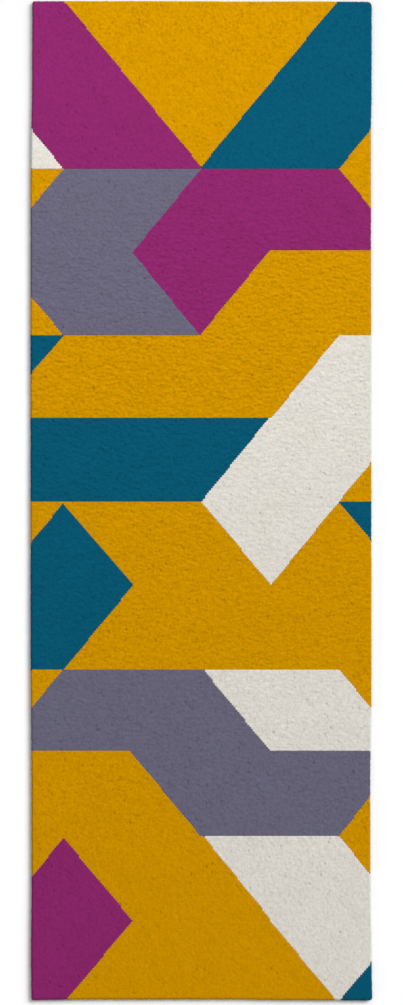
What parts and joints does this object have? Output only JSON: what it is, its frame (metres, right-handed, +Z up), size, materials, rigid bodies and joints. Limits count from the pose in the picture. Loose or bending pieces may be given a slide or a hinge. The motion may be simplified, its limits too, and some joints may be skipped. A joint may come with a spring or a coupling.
{
  "type": "runner rug",
  "caption": "Hand-tufted wool runner rug, rectangular, with a geometric pattern of slanted bands and triangles in gold, teal, magenta, slate and ivory, canvas-backed, lying flat",
  "frame": {"origin": "on the floor, under the middle of the rug", "axes": "+Z up out of the pile, +Y along the length towards the end with the gold triangle, +X across the width"},
  "size_m": [0.82, 2.41, 0.0125],
  "materials": {
    "gold_wool": "matte cut wool pile, golden yellow",
    "teal_wool": "matte cut wool pile, deep teal",
    "magenta_wool": "matte cut wool pile, magenta",
    "slate_wool": "matte cut wool pile, purple slate grey",
    "ivory_wool": "matte cut wool pile, undyed ivory",
    "tufting_cloth": "plain woven cotton, unbleached",
    "latex_coat": "dried latex adhesive, matte",
    "backing_canvas": "plain woven cotton canvas, unbleached",
    "edge_tape": "herringbone cotton tape"
  },
  "bodies": {
    "root": {"backing_canvas": "backing_canvas", "edge_tape_bottom": "edge_tape", "edge_tape_left": "edge_tape", "edge_tape_right": "edge_tape", "edge_tape_top": "edge_tape", "latex_coat": "latex_coat", "pile_gold_bottom": "gold_wool", "pile_gold_left_notch": "gold_wool", "pile_gold_lower_left_tip": "gold_wool", "pile_gold_lower_right_tip": "gold_wool", "pile_gold_middle": "gold_wool", "pile_gold_right_sliver": "gold_wool", "pile_gold_top_triangle": "gold_wool", "pile_gold_upper_band": "gold_wool", "pile_gold_upper_left_tip": "gold_wool", "pile_gold_upper_right_tip": "gold_wool", "pile_ivory_arrow": "ivory_wool", "pile_ivory_bottom": "ivory_wool", "pile_ivory_left_tip": "ivory_wool", "pile_ivory_lower": "ivory_wool", "pile_magenta_arrow": "magenta_wool", "pile_magenta_diamond": "magenta_wool", "pile_magenta_top_left": "magenta_wool", "pile_slate_lower": "slate_wool", "pile_slate_upper": "slate_wool", "pile_teal_bar": "teal_wool", "pile_teal_bottom_corner": "teal_wool", "pile_teal_diamond": "teal_wool", "pile_teal_left_tip": "teal_wool", "pile_teal_right_tip": "teal_wool", "pile_teal_top_right": "teal_wool", "tufting_cloth": "tufting_cloth"}
  },
  "joints": []
}
